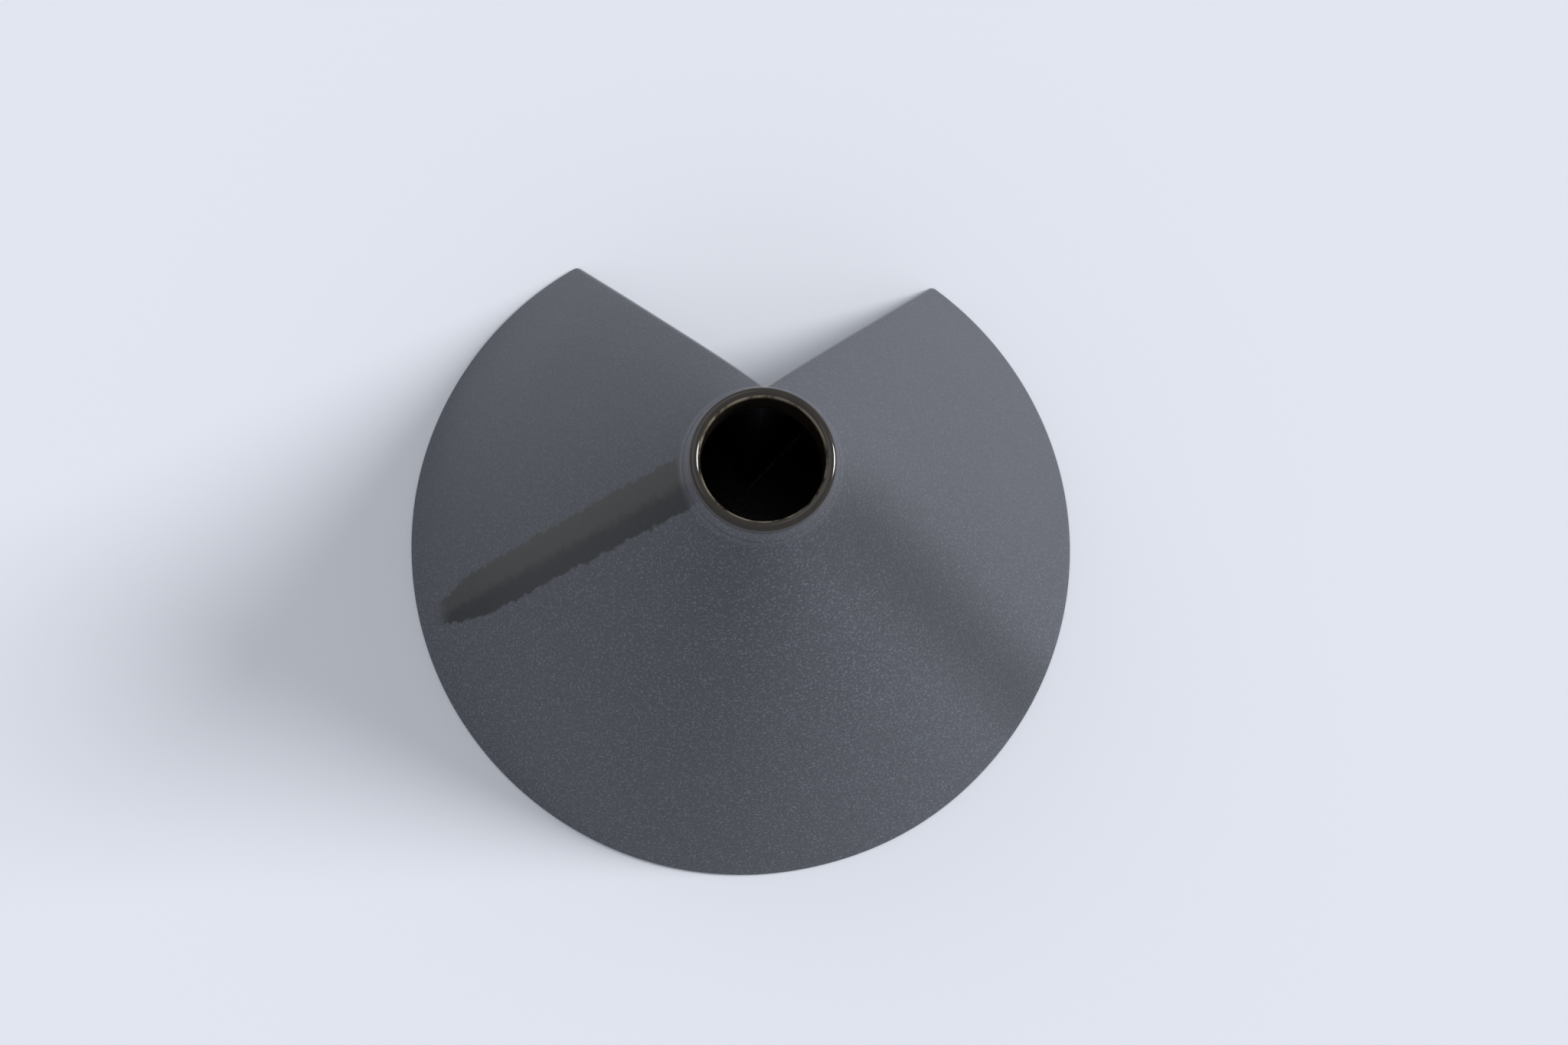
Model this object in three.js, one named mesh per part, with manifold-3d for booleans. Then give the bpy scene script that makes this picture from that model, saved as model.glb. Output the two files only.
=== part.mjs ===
// Hand-built ceramic vase: a hollow cone with a short central neck and a V notch in its side.
// Millimetres, +Z up. The origin is on the neck's axis, in the plane the vase stands on.
// The notch opens towards +Y.

import * as THREE from 'three';
import { mergeVertices } from 'three/addons/utils/BufferGeometryUtils.js';
import Module from 'manifold-3d';

const wasm = await Module();
wasm.setup();

// Driving dimensions of the body
const BASE_RADIUS = 125;
const BODY_HEIGHT = 132;
const CONE_WALL = 4.5;
const BASE_THICKNESS = 6;
const FOOT_BEVEL = 1.6;

// Driving dimensions of the V notch
const NOTCH_WALL = 4.5;
const NOTCH_HALF_ANGLE = THREE.MathUtils.degToRad(41);
const NOTCH_TO_NECK = 0.5;

// Driving dimensions of the neck and its lip
const BORE_RADIUS = 18.8;
const NECK_FOOT_WALL = 5.7;
const NECK_TOP_WALL = 2.9;
const NECK_HEIGHT = 6;
const NECK_STEP_HEIGHT = 1.5;
const NECK_STEP_WIDTH = 1.2;
const LIP_WALL = 3.5;
const LIP_HEIGHT = 4;

// How the pieces meet, and how finely round faces are cut
const JOINT_GAP = 0.3;
const BODY_SEGMENTS = 96;
const NECK_SEGMENTS = 64;
const ARC_STEPS = 8;
const OVERSIZE = 20;

// Colours of the satin glaze, the glossy glaze and the bare clay
const SATIN_GLAZE = { color: 0x5b5d66, roughness: 0.42, metalness: 0.25 };
const GLOSS_GLAZE = { color: 0x141013, roughness: 0.12, metalness: 0 };
const BARE_CLAY = { color: 0x4a4038, roughness: 0.85, metalness: 0 };

// Derived sizes
const NECK_FOOT_RADIUS = BORE_RADIUS + NECK_FOOT_WALL;
const NOTCH_APEX = NECK_FOOT_RADIUS + NOTCH_TO_NECK;
const CONE_RISE = BODY_HEIGHT - FOOT_BEVEL;
const CONE_RUN = BASE_RADIUS - NECK_FOOT_RADIUS;
const CONE_LEVEL_WALL = CONE_WALL * Math.hypot(CONE_RISE, CONE_RUN) / CONE_RISE;
const NOTCH_BACK_APEX = NOTCH_APEX - NOTCH_WALL / Math.sin(NOTCH_HALF_ANGLE);
const NOTCH_REACH = BASE_RADIUS + OVERSIZE;

// Radius of the cone's outer face at a height
function coneRadius(z) {
  return BASE_RADIUS - CONE_RUN * (z - FOOT_BEVEL) / CONE_RISE;
}

// A solid from a closed three.js geometry
function solidOf(geometry) {
  const bare = geometry.clone();
  bare.deleteAttribute('normal');
  bare.deleteAttribute('uv');
  const merged = mergeVertices(bare, 1e-5);
  const vertProperties = new Float32Array(merged.attributes.position.array);
  const triVerts = new Uint32Array(merged.index.array);
  return new wasm.Manifold(new wasm.Mesh({ numProp: 3, vertProperties, triVerts }));
}

// A three.js geometry from a solid
function geometryOf(solid) {
  const { vertProperties, triVerts, numProp } = solid.getMesh();
  const count = vertProperties.length / numProp;
  const positions = new Float32Array(3 * count);
  for (let i = 0; i < count; i += 1) {
    positions.set(vertProperties.subarray(i * numProp, i * numProp + 3), 3 * i);
  }
  const geometry = new THREE.BufferGeometry();
  geometry.setAttribute('position', new THREE.BufferAttribute(positions, 3));
  geometry.setIndex(new THREE.BufferAttribute(new Uint32Array(triVerts), 1));
  geometry.computeVertexNormals();
  return geometry;
}

// A body turned about the Z axis from radius and height pairs
function turned(points, segments) {
  const profile = points.map(([radius, z]) => new THREE.Vector2(radius, z));
  return new THREE.LatheGeometry(profile, segments).rotateX(Math.PI / 2);
}

// An upright prism over an outline of x and y pairs
function prism(outline, bottom, top) {
  const shape = new THREE.Shape(outline.map(([x, y]) => new THREE.Vector2(x, y)));
  const settings = { depth: top - bottom, bevelEnabled: false };
  return new THREE.ExtrudeGeometry(shape, settings).translate(0, 0, bottom);
}

// Points of an arc of radius and height pairs
function arc(centreRadius, centreZ, size, from, to) {
  const points = [];
  for (let i = 0; i <= ARC_STEPS; i += 1) {
    const angle = from + (to - from) * i / ARC_STEPS;
    points.push([centreRadius + size * Math.cos(angle), centreZ + size * Math.sin(angle)]);
  }
  return points;
}

// Point on one face of the notch: side is -1 for left and 1 for right
function notchPoint(side, apexY, distance) {
  const x = side * distance * Math.sin(NOTCH_HALF_ANGLE);
  const y = apexY + distance * Math.cos(NOTCH_HALF_ANGLE);
  return [x, y];
}

// A wedge with the notch's angle whose edge stands at a place on the Y axis
function notchWedge(apexY) {
  const outline = [
    [0, apexY],
    notchPoint(1, apexY, 2 * NOTCH_REACH),
    notchPoint(-1, apexY, 2 * NOTCH_REACH),
  ];
  return solidOf(prism(outline, -OVERSIZE, BODY_HEIGHT + OVERSIZE));
}

// The room inside the cone's wall up to a height, less the gap at the joint
function coneRoom(top) {
  const inset = CONE_LEVEL_WALL + JOINT_GAP;
  const outline = [
    [0, 0],
    [coneRadius(0) - inset, 0],
    [coneRadius(top) - inset, top],
    [0, top],
  ];
  return solidOf(turned(outline, BODY_SEGMENTS));
}

// Flat slab that closes the hollow from below, inside the feet of the walls
function baseSlab() {
  const behindWalls = NOTCH_BACK_APEX - JOINT_GAP / Math.sin(NOTCH_HALF_ANGLE);
  return geometryOf(coneRoom(BASE_THICKNESS).subtract(notchWedge(behindWalls)));
}

// Thin conical wall from the foot to the neck, open at the notch
function coneShell() {
  const outline = [
    [coneRadius(0) - CONE_LEVEL_WALL, 0],
    [BASE_RADIUS - FOOT_BEVEL, 0],
    [BASE_RADIUS, FOOT_BEVEL],
    [NECK_FOOT_RADIUS, BODY_HEIGHT],
    [NECK_FOOT_RADIUS - CONE_LEVEL_WALL, BODY_HEIGHT],
    [coneRadius(0) - CONE_LEVEL_WALL, 0],
  ];
  return geometryOf(solidOf(turned(outline, BODY_SEGMENTS)).subtract(notchWedge(NOTCH_APEX)));
}

// Upright slab that closes one side of the notch, trimmed to the inside of the cone
function notchWall(side) {
  const mitre = side * JOINT_GAP / 2;
  const mitreShift = JOINT_GAP / 2 / Math.tan(NOTCH_HALF_ANGLE);
  const outline = [
    [mitre, NOTCH_APEX + mitreShift],
    notchPoint(side, NOTCH_APEX, NOTCH_REACH),
    notchPoint(side, NOTCH_BACK_APEX, NOTCH_REACH),
    [mitre, NOTCH_BACK_APEX + mitreShift],
  ];
  const slab = solidOf(prism(outline, -OVERSIZE, BODY_HEIGHT + OVERSIZE));
  return geometryOf(coneRoom(BODY_HEIGHT).intersect(slab));
}

// Short matt neck with a stepped foot, hollowing in towards the lip
function neckCollar() {
  const stepRadius = NECK_FOOT_RADIUS - NECK_STEP_WIDTH;
  const topRadius = BORE_RADIUS + NECK_TOP_WALL;
  const stepTop = BODY_HEIGHT + NECK_STEP_HEIGHT;
  const neckTop = BODY_HEIGHT + NECK_HEIGHT;
  const hollow = [];
  for (let i = 0; i <= ARC_STEPS; i += 1) {
    const angle = (Math.PI / 2) * i / ARC_STEPS;
    const radius = topRadius + (stepRadius - topRadius) * (1 - Math.sin(angle));
    hollow.push([radius, neckTop - (neckTop - stepTop) * Math.cos(angle)]);
  }
  const outline = [
    [BORE_RADIUS, BODY_HEIGHT],
    [NECK_FOOT_RADIUS, BODY_HEIGHT],
    [NECK_FOOT_RADIUS, stepTop - NECK_STEP_WIDTH / 2],
    [NECK_FOOT_RADIUS - NECK_STEP_WIDTH / 2, stepTop],
    ...hollow,
    [BORE_RADIUS, neckTop],
    [BORE_RADIUS, BODY_HEIGHT],
  ];
  return turned(outline, NECK_SEGMENTS);
}

// Rounded glossy lip on top of the neck
function lipRing() {
  const bottom = BODY_HEIGHT + NECK_HEIGHT;
  const rounding = LIP_WALL / 2;
  const roundingCentre = bottom + LIP_HEIGHT - rounding;
  const outline = [
    [BORE_RADIUS, bottom],
    [BORE_RADIUS + LIP_WALL, bottom],
    ...arc(BORE_RADIUS + rounding, roundingCentre, rounding, 0, Math.PI),
    [BORE_RADIUS, bottom],
  ];
  return turned(outline, NECK_SEGMENTS);
}

const group = new THREE.Group();

// Names a sub-part, gives it its finish and adds it to the vase
function addPart(name, geometry, finish) {
  const mesh = new THREE.Mesh(geometry, new THREE.MeshStandardMaterial(finish));
  mesh.name = name;
  group.add(mesh);
}

addPart('base_slab', baseSlab(), BARE_CLAY);
addPart('cone_shell', coneShell(), SATIN_GLAZE);
addPart('notch_wall_left', notchWall(-1), SATIN_GLAZE);
addPart('notch_wall_right', notchWall(1), SATIN_GLAZE);
addPart('neck_collar', neckCollar(), SATIN_GLAZE);
addPart('lip_ring', lipRing(), GLOSS_GLAZE);

export default group;
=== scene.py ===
"""Ceramic vase with a V notch: glazed surfaces, floor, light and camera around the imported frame.
Metres, +Z up, the notch opens towards +Y."""
import math

import bmesh
import bpy
from mathutils import Matrix, Vector, noise


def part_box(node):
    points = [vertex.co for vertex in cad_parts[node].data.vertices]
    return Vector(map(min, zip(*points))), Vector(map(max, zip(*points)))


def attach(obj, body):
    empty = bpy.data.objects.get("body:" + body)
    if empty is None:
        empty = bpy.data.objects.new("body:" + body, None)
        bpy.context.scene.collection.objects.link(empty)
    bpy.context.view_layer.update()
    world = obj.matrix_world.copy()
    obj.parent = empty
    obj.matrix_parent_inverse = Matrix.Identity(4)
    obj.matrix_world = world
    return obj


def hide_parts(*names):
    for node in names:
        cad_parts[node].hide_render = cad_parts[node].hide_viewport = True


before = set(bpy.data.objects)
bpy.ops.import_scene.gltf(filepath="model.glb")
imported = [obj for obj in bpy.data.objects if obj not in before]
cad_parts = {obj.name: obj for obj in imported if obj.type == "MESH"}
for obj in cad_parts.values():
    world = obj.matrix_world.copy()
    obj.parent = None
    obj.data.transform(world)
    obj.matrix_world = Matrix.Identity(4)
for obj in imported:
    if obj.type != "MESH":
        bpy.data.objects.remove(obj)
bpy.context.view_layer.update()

MM = 0.001

# Sizes read from the frame
BASE_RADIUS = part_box("cone_shell")[1].x
BODY_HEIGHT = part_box("cone_shell")[1].z
NECK_FOOT_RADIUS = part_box("neck_collar")[1].x
NECK_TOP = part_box("neck_collar")[1].z
LIP_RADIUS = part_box("lip_ring")[1].x
LIP_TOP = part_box("lip_ring")[1].z

# Sizes of the clay that the frame's boxes don't give
CONE_WALL = 4.5 * MM
FOOT_BEVEL = 1.6 * MM
NOTCH_WALL = 4.5 * MM
NOTCH_HALF_ANGLE = math.radians(41)
NOTCH_TO_NECK = 0.5 * MM
LIP_WALL = 3.5 * MM
GLAZE_LINER = 0.3 * MM

# Roundings and fineness of the surfaces
FOOT_ROUNDING = 1.6 * MM
TIP_ROUNDING = 2.6 * MM
APEX_ROUNDING = 1.8 * MM
WALL_SETBACK = 0.04 * MM
ARC_COLUMNS = 260
TIP_COLUMNS = 12
WALL_COLUMNS = 24
LAYERS = 44
NECK_SEGMENTS = 192
HAND_WAVE = 0.0016
HAND_WAVE_SCALE = 16
SHARP_ANGLE = math.radians(38)

CONE_RISE = BODY_HEIGHT - FOOT_BEVEL
CONE_RUN = BASE_RADIUS - NECK_FOOT_RADIUS
LEVEL_WALL = CONE_WALL * math.hypot(CONE_RISE, CONE_RUN) / CONE_RISE
BORE_RADIUS = LIP_RADIUS - LIP_WALL
NOTCH_APEX = NECK_FOOT_RADIUS + NOTCH_TO_NECK
ALONG_NOTCH = Vector((math.sin(NOTCH_HALF_ANGLE), math.cos(NOTCH_HALF_ANGLE)))
INTO_NOTCH = Vector((-math.cos(NOTCH_HALF_ANGLE), math.sin(NOTCH_HALF_ANGLE)))


def cone_radius(z):
    """Radius of the cone's outer face at a height."""
    return BASE_RADIUS - CONE_RUN * (z - FOOT_BEVEL) / CONE_RISE


def foot_inset(z):
    """How far the rounded foot draws in at a height."""
    if z >= FOOT_ROUNDING:
        return 0.0
    return FOOT_ROUNDING - math.sqrt(FOOT_ROUNDING ** 2 - (FOOT_ROUNDING - z) ** 2)


def layer_heights(top):
    """Heights of the layers: close together round the foot, then even."""
    rounding_steps = 6
    heights = []
    for i in range(rounding_steps):
        heights.append(FOOT_ROUNDING * (1 - math.cos(math.pi / 2 * i / rounding_steps)))
    for i in range(LAYERS + 1):
        heights.append(FOOT_ROUNDING + (top - FOOT_ROUNDING) * i / LAYERS)
    return heights


def reach_on_notch(apex, radius):
    """Distance along a notch face from its apex to a circle about the neck's axis."""
    across = apex * math.sin(NOTCH_HALF_ANGLE)
    return math.sqrt(radius ** 2 - across ** 2) - apex * math.cos(NOTCH_HALF_ANGLE)


def lerp(a, b, t):
    return a + (b - a) * t


def mirrored(points):
    """The same outline on the left of the middle plane, in the opposite order."""
    return [Vector((-p.x, p.y)) for p in reversed(points)]


def wave(point):
    """The slight unevenness of a surface shaped by hand."""
    swell = 1 + HAND_WAVE * noise.noise(point * HAND_WAVE_SCALE)
    return Vector((point.x * swell, point.y * swell, point.z))


def add_piece(name, points, faces, materials, replaces=()):
    """Makes a smooth mesh piece that rides on the vase."""
    mesh = bpy.data.meshes.new(name)
    mesh.from_pydata([wave(Vector(p)) for p in points], [], faces)
    work = bmesh.new()
    work.from_mesh(mesh)
    bmesh.ops.recalc_face_normals(work, faces=work.faces)
    work.to_mesh(mesh)
    work.free()
    mesh.shade_smooth()
    mesh.set_sharp_from_angle(angle=SHARP_ANGLE)
    for material in materials:
        mesh.materials.append(material)
    piece = bpy.data.objects.new(name, mesh)
    bpy.context.scene.collection.objects.link(piece)
    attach(piece, "root")
    if replaces:
        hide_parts(*replaces)
    return piece


def loft(loops):
    """Points and faces of a wall built up from level loops of (front points, back points)."""
    points = []
    for front, back, z in loops:
        points += [(p.x, p.y, z) for p in front]
        points += [(p.x, p.y, z) for p in reversed(back)]
    columns = len(loops[0][0])
    around = 2 * columns
    faces = []
    for level in range(len(loops) - 1):
        for i in range(around):
            j = (i + 1) % around
            start = level * around
            faces.append((start + i, start + j, start + around + j, start + around + i))
    for start in (0, (len(loops) - 1) * around):
        for i in range(columns - 1):
            across = around - 1 - i
            faces.append((start + i, start + i + 1, start + across - 1, start + across))
    return points, faces


def turned(profile, segments=NECK_SEGMENTS):
    """Points and faces of a ring turned about Z from a closed outline of (radius, z)."""
    points = []
    for step in range(segments):
        angle = 2 * math.pi * step / segments
        points += [(r * math.cos(angle), r * math.sin(angle), z) for r, z in profile]
    count = len(profile)
    faces = []
    for step in range(segments):
        start = step * count
        after = ((step + 1) % segments) * count
        for i in range(count):
            j = (i + 1) % count
            faces.append((start + i, after + i, after + j, start + j))
    return points, faces


def smooth_curve(points, steps=5):
    """A smooth curve through (radius, z) points."""
    padded = [points[0]] + list(points) + [points[-1]]
    curve = []
    for i in range(1, len(padded) - 2):
        before, a, b, after = [Vector(p) for p in padded[i - 1:i + 3]]
        for step in range(steps):
            t = step / steps
            curve.append(0.5 * (2 * a + (b - before) * t
                                + (2 * before - 5 * a + 4 * b - after) * t ** 2
                                + (3 * a - before - 3 * b + after) * t ** 3))
    curve.append(Vector(points[-1]))
    return [(p.x, p.y) for p in curve]


def tip_centre(apex, radius, rounding):
    """Centre of the circle that rounds the tip between the cone and the right notch face."""
    base = Vector((0, apex)) - rounding * INTO_NOTCH
    along = base.dot(ALONG_NOTCH)
    limit = (radius - rounding) ** 2
    travel = -along + math.sqrt(along ** 2 - base.length_squared + limit)
    return base + travel * ALONG_NOTCH


def cone_loop(z):
    """Front and back outlines of the conical wall at a height."""
    inset = foot_inset(z)
    radius = cone_radius(z) - inset
    apex = NOTCH_APEX - inset / math.sin(NOTCH_HALF_ANGLE)
    rounding = min(TIP_ROUNDING, 0.45 * (radius - apex))
    centre = tip_centre(apex, radius, rounding)
    from_angle = math.atan2(INTO_NOTCH.y, INTO_NOTCH.x)
    to_angle = math.atan2(centre.y, centre.x)
    tip = []
    for i in range(TIP_COLUMNS + 1):
        angle = lerp(from_angle, to_angle, i / TIP_COLUMNS)
        tip.append(centre + rounding * Vector((math.cos(angle), math.sin(angle))))
    sweep = []
    for i in range(1, ARC_COLUMNS):
        angle = lerp(to_angle, -math.pi - to_angle, i / ARC_COLUMNS)
        sweep.append(radius * Vector((math.cos(angle), math.sin(angle))))
    front = tip + sweep + mirrored(tip)
    inner = cone_radius(z) - LEVEL_WALL
    slit = 0.2 * MM
    start = math.acos(slit / inner)
    if inner > apex:
        meeting = Vector((0, apex)) + reach_on_notch(apex, inner) * ALONG_NOTCH
        start = min(start, math.atan2(meeting.y, meeting.x))
    back = []
    for i in range(len(front)):
        angle = lerp(start, -math.pi - start, i / (len(front) - 1))
        back.append(inner * Vector((math.cos(angle), math.sin(angle))))
    return front, back, z


def notch_loop(z):
    """Front and back outlines of the right notch wall at a height, out to the corner's middle."""
    inset = foot_inset(z)
    radius = cone_radius(z) - inset
    apex = NOTCH_APEX - (inset + WALL_SETBACK) / math.sin(NOTCH_HALF_ANGLE)
    reach = reach_on_notch(apex, radius - TIP_ROUNDING * min(1, (radius - apex) / TIP_ROUNDING / 2))
    rounding = min(APEX_ROUNDING, 0.3 * reach)
    centre = Vector((0, apex + rounding / math.sin(NOTCH_HALF_ANGLE)))
    touch = centre - rounding * INTO_NOTCH
    outer = Vector((0, apex)) + 0.96 * reach * ALONG_NOTCH
    front = [outer.lerp(touch, i / WALL_COLUMNS) for i in range(WALL_COLUMNS)]
    from_angle = math.atan2(-INTO_NOTCH.y, -INTO_NOTCH.x)
    for i in range(TIP_COLUMNS + 1):
        angle = lerp(from_angle, -math.pi / 2, i / TIP_COLUMNS)
        front.append(centre + rounding * Vector((math.cos(angle), math.sin(angle))))
    back_apex = max(apex - NOTCH_WALL / math.sin(NOTCH_HALF_ANGLE), BORE_RADIUS + 0.3 * MM)
    back_corner = Vector((0, back_apex))
    back_outer = back_corner + 0.93 * reach * ALONG_NOTCH
    count = len(front) - 1
    back = [back_outer.lerp(back_corner, i / count) for i in range(count + 1)]
    return front, back, z


def new_material(name):
    material = bpy.data.materials.new(name)
    material.use_nodes = True
    tree = material.node_tree
    return material, tree, tree.nodes["Principled BSDF"]


def add_node(tree, kind, settings=None, **inputs):
    """Adds a node. A value that is a socket is linked, any other is set."""
    node = tree.nodes.new(kind)
    for key, value in (settings or {}).items():
        setattr(node, key, value)
    for key, value in inputs.items():
        socket = node.inputs[int(key[1:])] if key[0] == "i" and key[1:].isdigit() else node.inputs[key]
        if isinstance(value, bpy.types.NodeSocket):
            tree.links.new(value, socket)
        else:
            socket.default_value = value
    return node


def math_node(tree, operation, a, b=0.0, clamp=False):
    node = add_node(tree, "ShaderNodeMath", {"operation": operation, "use_clamp": clamp}, i0=a, i1=b)
    return node.outputs[0]


def vector_dot(tree, vector, direction):
    node = add_node(tree, "ShaderNodeVectorMath", {"operation": "DOT_PRODUCT"}, i0=vector, i1=direction)
    return node.outputs["Value"]


def noise_node(tree, position, scale, detail=2.0, roughness=0.5):
    node = add_node(tree, "ShaderNodeTexNoise", None, Vector=position, Scale=scale,
                    Detail=detail, Roughness=roughness)
    return node.outputs["Fac"]


def ramp(tree, value, low, high, to_low=0.0, to_high=1.0):
    """A smooth step of a value from low to high."""
    node = add_node(tree, "ShaderNodeMapRange", {"interpolation_type": "SMOOTHSTEP"}, Value=value)
    node.inputs["From Min"].default_value = low
    node.inputs["From Max"].default_value = high
    node.inputs["To Min"].default_value = to_low
    node.inputs["To Max"].default_value = to_high
    return node.outputs["Result"]


def mix_colour(tree, factor, a, b):
    node = tree.nodes.new("ShaderNodeMix")
    node.data_type = "RGBA"
    for index, value in ((0, factor), (6, a), (7, b)):
        if isinstance(value, bpy.types.NodeSocket):
            tree.links.new(value, node.inputs[index])
        else:
            node.inputs[index].default_value = value
    return node.outputs[2]


def mix_value(tree, factor, a, b):
    node = tree.nodes.new("ShaderNodeMix")
    node.data_type = "FLOAT"
    for index, value in ((0, factor), (2, a), (3, b)):
        if isinstance(value, bpy.types.NodeSocket):
            tree.links.new(value, node.inputs[index])
        else:
            node.inputs[index].default_value = value
    return node.outputs[0]


def bump(tree, shader, height, strength, distance):
    node = add_node(tree, "ShaderNodeBump", None, Strength=strength, Distance=distance, Height=height)
    tree.links.new(node.outputs["Normal"], shader.inputs["Normal"])


def object_position(tree):
    return tree.nodes.new("ShaderNodeTexCoord").outputs["Object"]


# A dark streak on the left of the cone, glossier and darker along its lower half, in plan
STREAK_START = Vector((-23.4, -6.2, 0)) * MM
STREAK_END = Vector((-113.9, -36.9, 0)) * MM
STREAK_HALF_WIDTH = 8.9 * MM
STREAK_EDGE = 1.2 * MM
STREAK_SCALLOP = 1.8 * MM
STREAK_TAPER = 24 * MM

# The band of painted shade on the right of the cone, in plan
BAND_START = Vector((22.0, -8.0, 0)) * MM
BAND_END = Vector((108.0, -56.0, 0)) * MM
BAND_HALF_WIDTH = 26 * MM


def run_and_side(tree, position, start, end):
    """Distance along a line in plan, and distance to its left seen from above."""
    along = (end - start).normalized()
    across = Vector((-along.y, along.x, 0))
    from_start = add_node(tree, "ShaderNodeVectorMath", {"operation": "SUBTRACT"},
                          i0=position, i1=start).outputs[0]
    return vector_dot(tree, from_start, along), vector_dot(tree, from_start, across)


def streak_masks(tree, position):
    """How far a point lies in the streak, and how far in its darker lower half."""
    length = (STREAK_END - STREAK_START).length
    run, side = run_and_side(tree, position, STREAK_START, STREAK_END)
    scallop = noise_node(tree, position, 260.0, 1.0)
    wobble = math_node(tree, "MULTIPLY", math_node(tree, "SUBTRACT", scallop, 0.5), 2 * STREAK_SCALLOP)
    taper = ramp(tree, run, length - STREAK_TAPER, length, 0.0, STREAK_HALF_WIDTH / 2)
    reach = math_node(tree, "ADD", math_node(tree, "ABSOLUTE", side), taper)
    distance = math_node(tree, "ADD", reach, wobble)
    body = ramp(tree, distance, STREAK_HALF_WIDTH, STREAK_HALF_WIDTH - STREAK_EDGE, 0.0, 1.0)
    ends = math_node(tree, "ADD", run, wobble)
    near = ramp(tree, ends, -4 * MM, 2 * MM)
    far = ramp(tree, ends, length, length - 8 * MM)
    mask = math_node(tree, "MULTIPLY", math_node(tree, "MULTIPLY", body, near), far)
    lower = ramp(tree, math_node(tree, "ADD", side, wobble), -1.5 * MM, 3.0 * MM)
    return mask, lower


def painted_shade_band_mask(tree, position):
    """Mask of the band of painted shade on the right of the cone."""
    run, side = run_and_side(tree, position, BAND_START, BAND_END)
    body = ramp(tree, math_node(tree, "ABSOLUTE", side), BAND_HALF_WIDTH, 0.0)
    return math_node(tree, "MULTIPLY", body, ramp(tree, run, -12 * MM, 12 * MM))


def edge_highlight_mask(tree, position):
    """The rounded edges of the notch where they face up, painted paler as a highlight."""
    parts = add_node(tree, "ShaderNodeSeparateXYZ", None, Vector=position).outputs
    out = math_node(tree, "MULTIPLY", math_node(tree, "ABSOLUTE", parts["X"]), -math.cos(NOTCH_HALF_ANGLE))
    back = math_node(tree, "MULTIPLY", math_node(tree, "SUBTRACT", parts["Y"], NOTCH_APEX),
                     math.sin(NOTCH_HALF_ANGLE))
    near_face = ramp(tree, math_node(tree, "ADD", out, back), -1.3 * MM, -0.5 * MM)
    normal = tree.nodes.new("ShaderNodeNewGeometry").outputs["Normal"]
    upward = ramp(tree, vector_dot(tree, normal, Vector((0, 0, 1))), 0.05, 0.2)
    return math_node(tree, "MULTIPLY", near_face, upward)


def satin_glaze():
    """Dark blue-grey satin glaze with fine pale crystals, made denser on the front of the cone as painted
    glints, with a band of painted shade on the right and a painted highlight on the notch edges.
    """
    material, tree, shader = new_material("satin_glaze")
    position = object_position(tree)
    cloud = noise_node(tree, position, 22.0, 4.0, 0.6)
    colour = mix_colour(tree, cloud, (0.052, 0.055, 0.066, 1), (0.070, 0.074, 0.088, 1))
    # The pale crystals are the glaze's own grain; making them denser on the front of the cone is painted
    # glint.
    front = ramp(tree, vector_dot(tree, position, Vector((0, -1, 0))), -0.02, 0.05, 0.45, 1.0)
    grain = ramp(tree, noise_node(tree, position, 1300.0, 2.0, 0.7), 0.50, 0.68)
    crystals_and_glints = math_node(tree, "MULTIPLY", grain, front)
    colour = mix_colour(tree, crystals_and_glints, colour, (0.135, 0.15, 0.18, 1))
    # Painted shade: the colour is darkened in a soft band on the right of the cone.
    painted_band_shade = math_node(tree, "MULTIPLY", painted_shade_band_mask(tree, position), 0.45)
    colour = mix_colour(tree, painted_band_shade, colour, (0.012, 0.012, 0.014, 1))
    # Painted highlight: the up-facing rounded notch edges are made paler.
    painted_edge_highlight = math_node(tree, "MULTIPLY", edge_highlight_mask(tree, position), 0.8)
    colour = mix_colour(tree, painted_edge_highlight, colour, (0.24, 0.24, 0.25, 1))
    mask, lower = streak_masks(tree, position)
    streak = mix_colour(tree, lower, (0.030, 0.029, 0.023, 1), (0.003, 0.002, 0.002, 1))
    colour = mix_colour(tree, mask, colour, streak)
    tree.links.new(colour, shader.inputs["Base Color"])
    matt = mix_value(tree, cloud, 0.36, 0.50)
    tree.links.new(mix_value(tree, mask, matt, 0.20), shader.inputs["Roughness"])
    shader.inputs["IOR"].default_value = 1.45
    ripple = noise_node(tree, position, 420.0, 3.0, 0.6)
    height = math_node(tree, "ADD", ripple, math_node(tree, "MULTIPLY", crystals_and_glints, 0.5))
    bump(tree, shader, height, 0.35, 0.15 * MM)
    return material


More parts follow.
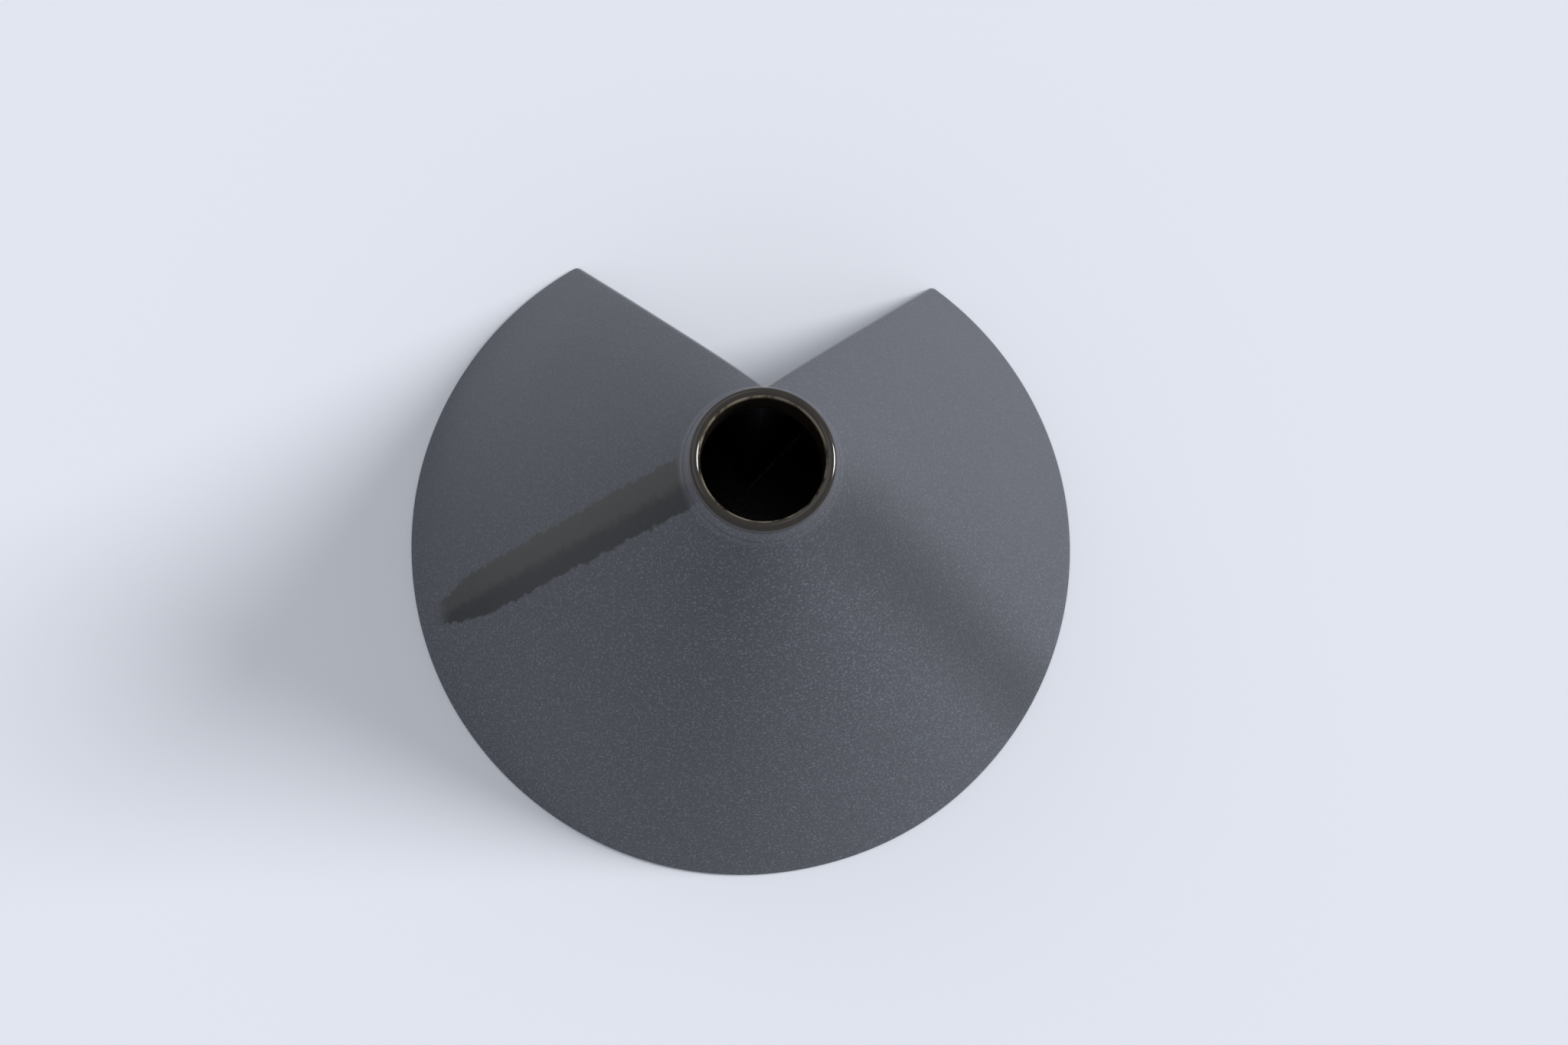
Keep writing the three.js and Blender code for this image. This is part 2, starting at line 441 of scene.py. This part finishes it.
def gloss_glaze():
    """Black glossy glaze that breaks to a thin olive line at the edge of the mouth."""
    material, tree, shader = new_material("gloss_glaze")
    position = object_position(tree)
    level = add_node(tree, "ShaderNodeVectorMath", {"operation": "MULTIPLY"},
                     i0=position, i1=(1, 1, 0)).outputs[0]
    radius = add_node(tree, "ShaderNodeVectorMath", {"operation": "LENGTH"}, i0=level).outputs["Value"]
    height = vector_dot(tree, position, Vector((0, 0, 1)))
    patchy = noise_node(tree, position, 160.0, 3.0, 0.6)
    edge = math_node(tree, "ABSOLUTE", math_node(tree, "SUBTRACT", radius, BORE_RADIUS + 0.35 * MM))
    line = ramp(tree, edge, 0.45 * MM, 0.1 * MM, 0.0, 1.0)
    on_top = ramp(tree, height, LIP_TOP - 2.5 * MM, LIP_TOP - 1.2 * MM)
    broken = math_node(tree, "MULTIPLY", ramp(tree, patchy, 0.35, 0.6), 0.8)
    amount = math_node(tree, "MULTIPLY", math_node(tree, "MULTIPLY", line, on_top), broken)
    dark = mix_colour(tree, patchy, (0.010, 0.008, 0.007, 1), (0.026, 0.020, 0.013, 1))
    tree.links.new(mix_colour(tree, amount, dark, (0.27, 0.235, 0.17, 1)), shader.inputs["Base Color"])
    tree.links.new(mix_value(tree, patchy, 0.07, 0.16), shader.inputs["Roughness"])
    shader.inputs["IOR"].default_value = 1.55
    bump(tree, shader, noise_node(tree, position, 90.0, 2.0), 0.15, 0.2 * MM)
    return material


def bare_clay():
    """Unglazed dark clay below, with the dark glaze of the inside on the face that looks up."""
    material, tree, shader = new_material("bare_clay")
    position = object_position(tree)
    speck = ramp(tree, noise_node(tree, position, 700.0, 3.0, 0.7), 0.55, 0.75)
    cloud = noise_node(tree, position, 30.0, 4.0, 0.6)
    clay = mix_colour(tree, cloud, (0.13, 0.105, 0.085, 1), (0.20, 0.165, 0.135, 1))
    clay = mix_colour(tree, math_node(tree, "MULTIPLY", speck, 0.6), clay, (0.05, 0.04, 0.035, 1))
    normal = tree.nodes.new("ShaderNodeNewGeometry").outputs["Normal"]
    upward = ramp(tree, vector_dot(tree, normal, Vector((0, 0, 1))), 0.4, 0.7)
    tree.links.new(mix_colour(tree, upward, clay, (0.010, 0.008, 0.009, 1)), shader.inputs["Base Color"])
    tree.links.new(mix_value(tree, upward, 0.88, 0.25), shader.inputs["Roughness"])
    bump(tree, shader, noise_node(tree, position, 500.0, 4.0, 0.7), 0.5, 0.2 * MM)
    return material


satin = satin_glaze()
gloss = gloss_glaze()
clay = bare_clay()

# The conical wall runs up to where the notch's edges meet under the neck's foot
shell_top = FOOT_BEVEL + CONE_RISE * (BASE_RADIUS - NOTCH_APEX - 0.5 * MM) / CONE_RUN
shell_points, shell_faces = loft([cone_loop(z) for z in layer_heights(shell_top)])
add_piece("cone_wall", shell_points, shell_faces, [satin], ["cone_shell"])

notch_loops = [notch_loop(z) for z in layer_heights(shell_top)]
for side_name, turn_over in (("right", False), ("left", True)):
    loops = notch_loops
    if turn_over:
        loops = [(mirrored(front), mirrored(back), z) for front, back, z in notch_loops]
    wall_points, wall_faces = loft(loops)
    add_piece("notch_face_" + side_name, wall_points, wall_faces, [satin],
              ["notch_wall_" + side_name])

# The matt neck: offsets in millimetres from the neck's foot, out along the cone and up to the lip
NECK_OUTLINE = [(1.0, -1.2), (0.35, -0.2), (0.0, 0.6), (-0.35, 1.3), (-0.8, 1.9),
                (-1.1, 2.6), (-1.5, 3.5), (-1.95, 4.6), (-2.35, 5.6), (-2.5, 6.0)]
neck_side = smooth_curve([(NECK_FOOT_RADIUS + r * MM, BODY_HEIGHT + z * MM) for r, z in NECK_OUTLINE])
bore = BORE_RADIUS + GLAZE_LINER
neck_profile = neck_side + [(bore, NECK_TOP), (bore, BODY_HEIGHT - 2 * MM)]
neck_points, neck_faces = turned(neck_profile)
add_piece("neck", neck_points, neck_faces, [satin], ["neck_collar"])

# The lip's glaze runs down inside the neck as a thin liner
rounding = LIP_WALL / 2
lip_profile = [(LIP_RADIUS - 0.35 * MM, NECK_TOP), (LIP_RADIUS - 0.08 * MM, NECK_TOP + 0.5 * MM)]
for i in range(17):
    angle = math.pi * i / 16
    lip_profile.append((BORE_RADIUS + rounding + rounding * math.cos(angle),
                        LIP_TOP - rounding + rounding * math.sin(angle)))
lip_profile += [(BORE_RADIUS, BODY_HEIGHT - 4 * MM), (bore, BODY_HEIGHT - 4 * MM), (bore, NECK_TOP)]
lip_points, lip_faces = turned(lip_profile)
add_piece("lip", lip_points, lip_faces, [gloss], ["lip_ring"])

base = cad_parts["base_slab"]
base.data.materials.clear()
base.data.materials.append(clay)


# Floor
FLOOR_SIZE = 6.0
FLOOR_COLOUR = (0.77, 0.80, 0.86, 1)


def make_floor():
    half = FLOOR_SIZE / 2
    mesh = bpy.data.meshes.new("floor")
    corners = [(-half, -half, 0), (half, -half, 0), (half, half, 0), (-half, half, 0)]
    mesh.from_pydata(corners, [], [(0, 1, 2, 3)])
    material, tree, shader = new_material("floor")
    shader.inputs["Base Color"].default_value = FLOOR_COLOUR
    shader.inputs["Roughness"].default_value = 0.9
    shader.inputs["Specular IOR Level"].default_value = 0.2
    mesh.materials.append(material)
    floor = bpy.data.objects.new("floor", mesh)
    bpy.context.scene.collection.objects.link(floor)


# Light from the right and a little behind, with a pale even room round it
KEY_ELEVATION = math.radians(30)
KEY_AZIMUTH = math.radians(16)
KEY_STRENGTH = 2.6
KEY_ANGLE = math.radians(20)
FILL_ELEVATION = math.radians(50)
FILL_AZIMUTH = math.radians(140)
FILL_STRENGTH = 0.4
FILL_ANGLE = math.radians(60)
ROOM_COLOUR = (0.93, 0.95, 1.0, 1)
ROOM_STRENGTH = 0.50


def add_lamp(name, azimuth, elevation, strength, angle):
    towards = Vector((math.cos(azimuth) * math.cos(elevation),
                      math.sin(azimuth) * math.cos(elevation),
                      math.sin(elevation)))
    lamp = bpy.data.lights.new(name, "SUN")
    lamp.energy = strength
    lamp.angle = angle
    lamp_object = bpy.data.objects.new(name, lamp)
    lamp_object.rotation_euler = towards.to_track_quat("Z", "Y").to_euler()
    bpy.context.scene.collection.objects.link(lamp_object)


def make_light():
    add_lamp("window", KEY_AZIMUTH, KEY_ELEVATION, KEY_STRENGTH, KEY_ANGLE)
    add_lamp("fill", FILL_AZIMUTH, FILL_ELEVATION, FILL_STRENGTH, FILL_ANGLE)
    world = bpy.data.worlds.new("room")
    world.use_nodes = True
    background = world.node_tree.nodes["Background"]
    background.inputs["Color"].default_value = ROOM_COLOUR
    background.inputs["Strength"].default_value = ROOM_STRENGTH
    bpy.context.scene.world = world


# Camera, almost straight above the vase
CAMERA_PLACE = Vector((-20.1, -108.8, 627.1)) * MM
CAMERA_TARGET = Vector((14.8, 7.1, 0)) * MM
CAMERA_ROLL = 0.336
SENSOR_WIDTH = 36.0
PHOTO_WIDTH = 2048
FOCAL_PIXELS = 2180


def make_camera():
    camera = bpy.data.cameras.new("camera")
    camera.sensor_width = SENSOR_WIDTH
    camera.lens = SENSOR_WIDTH * FOCAL_PIXELS / PHOTO_WIDTH
    camera.clip_start = 0.01
    forward = (CAMERA_TARGET - CAMERA_PLACE).normalized()
    level = forward.cross(Vector((0, 0, 1))).normalized()
    rise = level.cross(forward)
    right = math.cos(CAMERA_ROLL) * level + math.sin(CAMERA_ROLL) * rise
    up = -math.sin(CAMERA_ROLL) * level + math.cos(CAMERA_ROLL) * rise
    turn = Matrix((right, up, -forward)).transposed()
    camera_object = bpy.data.objects.new("camera", camera)
    camera_object.matrix_world = Matrix.Translation(CAMERA_PLACE) @ turn.to_4x4()
    bpy.context.scene.collection.objects.link(camera_object)
    bpy.context.scene.camera = camera_object


make_floor()
make_light()
make_camera()
bpy.context.scene.view_settings.view_transform = "Standard"
